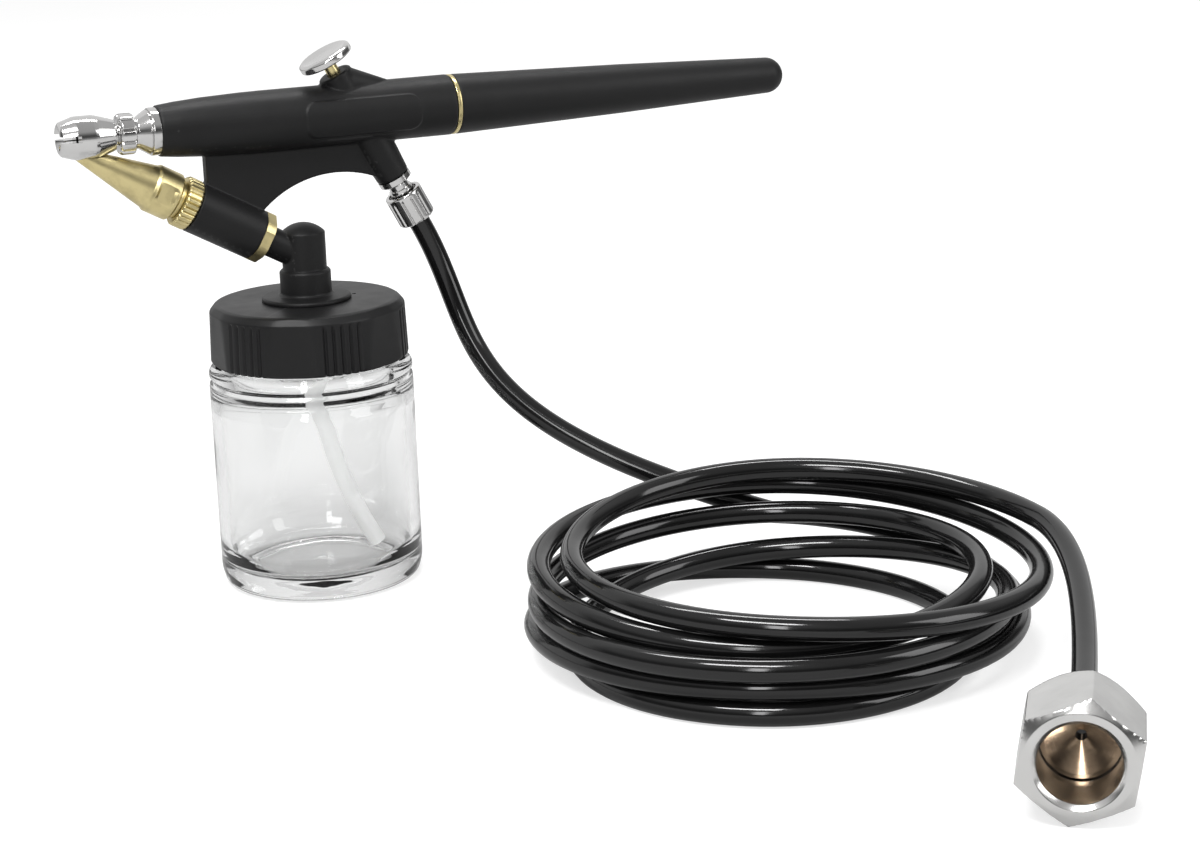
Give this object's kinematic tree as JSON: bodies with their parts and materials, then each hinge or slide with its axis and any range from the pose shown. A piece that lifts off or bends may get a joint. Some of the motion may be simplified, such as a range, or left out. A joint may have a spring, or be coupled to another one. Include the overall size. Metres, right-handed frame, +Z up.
{
  "type": "airbrush gun",
  "caption": "Single-action airbrush with a moulded body, an angled brass paint tip, a screw-on glass jar and a coiled air hose ending in a hex supply nut.",
  "frame": {"origin": "centre of the jar's foot on the table", "axes": "+Z up; +X from the nozzle towards the handle along the gun; the gun's own plane is y = 0"},
  "size_m": [0.1462, 0.1869, 0.0987],
  "materials": {
    "black_plastic": "fine satin moulded black plastic",
    "lid_plastic": "moulded black plastic with a soft sheen",
    "brass": "turned brass, bright with fine tool marks",
    "chrome": "polished chrome plate",
    "nickel": "bright nickel plate, lightly brushed flats",
    "spring_steel": "drawn steel",
    "rubber": "matte black rubber",
    "hose_vinyl": "glossy black vinyl",
    "tube_plastic": "milky translucent tube",
    "glass": "clear moulded glass"
  },
  "bodies": {
    "gun": {"body_shell": "black_plastic", "handle_stud": "brass", "nozzle_base": "chrome", "nozzle_collar": "chrome", "air_cap": "chrome", "air_jet": "brass", "nozzle_seal": "rubber", "trigger_seal": "rubber", "valve_seat": "brass", "valve_spring": "spring_steel", "valve_screw": "chrome", "valve_washer": "rubber", "hose": "hose_vinyl", "supply_nipple": "brass", "supply_washer": "rubber", "tip_needle": "spring_steel", "fluid_tube": "brass", "rear_nut": "brass"},
    "trigger": {"trigger_button": "chrome", "trigger_stem": "brass"},
    "plunger": {"valve_plunger": "brass"},
    "handle_seat": {"handle_ring": "brass"},
    "handle": {"handle": "black_plastic"},
    "hose_nut": {"hose_nut": "chrome"},
    "supply_nut": {"supply_nut": "nickel"},
    "tip_seal": {"tip_o_ring": "rubber"},
    "paint_tip": {"paint_tip": "brass"},
    "lock_ring": {"lock_ring": "brass"},
    "elbow": {"jar_elbow": "black_plastic", "elbow_clip": "black_plastic", "siphon_tube": "tube_plastic"},
    "lid": {"jar_lid": "lid_plastic"},
    "gasket": {"lid_gasket": "rubber"},
    "jar": {"glass_jar": "glass"}
  },
  "joints": [
    {"name": "trigger_press", "type": "slide", "parent": "gun", "child": "trigger", "axis": [0.4617, 0, -0.887], "range_m": [0, 0.002], "stiffness_N_per_m": 400},
    {"name": "plunger_press", "type": "slide", "parent": "gun", "child": "plunger", "axis": [0.4617, 0, -0.887], "range_m": [0, 0.002], "deforming": ["valve_spring"]},
    {"name": "handle_unscrew", "type": "slide", "parent": "gun", "child": "handle_seat", "axis": [1, 0, 0], "range_m": [0, 0.003]},
    {"name": "handle_turn", "type": "hinge", "parent": "handle_seat", "child": "handle", "pos_m": [0.03, 0, 0.0854], "axis": [1, 0, 0], "range_deg": [0, 1085]},
    {"name": "hose_nut_turn", "type": "hinge", "parent": "gun", "child": "hose_nut", "pos_m": [0.02073, 0, 0.06766], "axis": [0.4617, 0, -0.887], "continuous": true},
    {"name": "supply_nut_turn", "type": "hinge", "parent": "gun", "child": "supply_nut", "pos_m": [0.0562, -0.16365, 0.00971], "axis": [0.5835, 0.8121, 0], "continuous": true},
    {"name": "tip_unscrew", "type": "slide", "parent": "gun", "child": "tip_seal", "axis": [-0.8704, 0, 0.4924], "range_m": [0, 0.0008]},
    {"name": "tip_turn", "type": "hinge", "parent": "tip_seal", "child": "paint_tip", "pos_m": [0, 0, 0.0603], "axis": [-0.8704, 0, 0.4924], "range_deg": [0, 363]},
    {"name": "lock_ring_turn", "type": "hinge", "parent": "gun", "child": "lock_ring", "pos_m": [0, 0, 0.0603], "axis": [-0.8704, 0, 0.4924], "range_deg": [0, 90]},
    {"name": "jar_swing", "type": "hinge", "parent": "gun", "child": "elbow", "pos_m": [0, 0, 0.0603], "axis": [0.8704, 0, -0.4924], "range_deg": [-60, 60]},
    {"name": "lid_turn", "type": "hinge", "parent": "elbow", "child": "lid", "pos_m": [0, 0, 0.0525], "axis": [0, 0, 1], "continuous": true},
    {"name": "jar_unscrew", "type": "slide", "parent": "lid", "child": "gasket", "axis": [0, 0, -1], "range_m": [0, 0.004]},
    {"name": "jar_turn", "type": "hinge", "parent": "gasket", "child": "jar", "pos_m": [0, 0, 0], "axis": [0, 0, -1], "range_deg": [0, 453]}
  ],
  "couplings": [
    {"joint": "plunger_press", "follows": "trigger_press", "ratio": 1},
    {"joint": "handle_turn", "follows": "handle_unscrew", "rad_per_m": 6283.2},
    {"joint": "tip_turn", "follows": "tip_unscrew", "rad_per_m": 7854},
    {"joint": "jar_turn", "follows": "jar_unscrew", "rad_per_m": 1963.5}
  ]
}
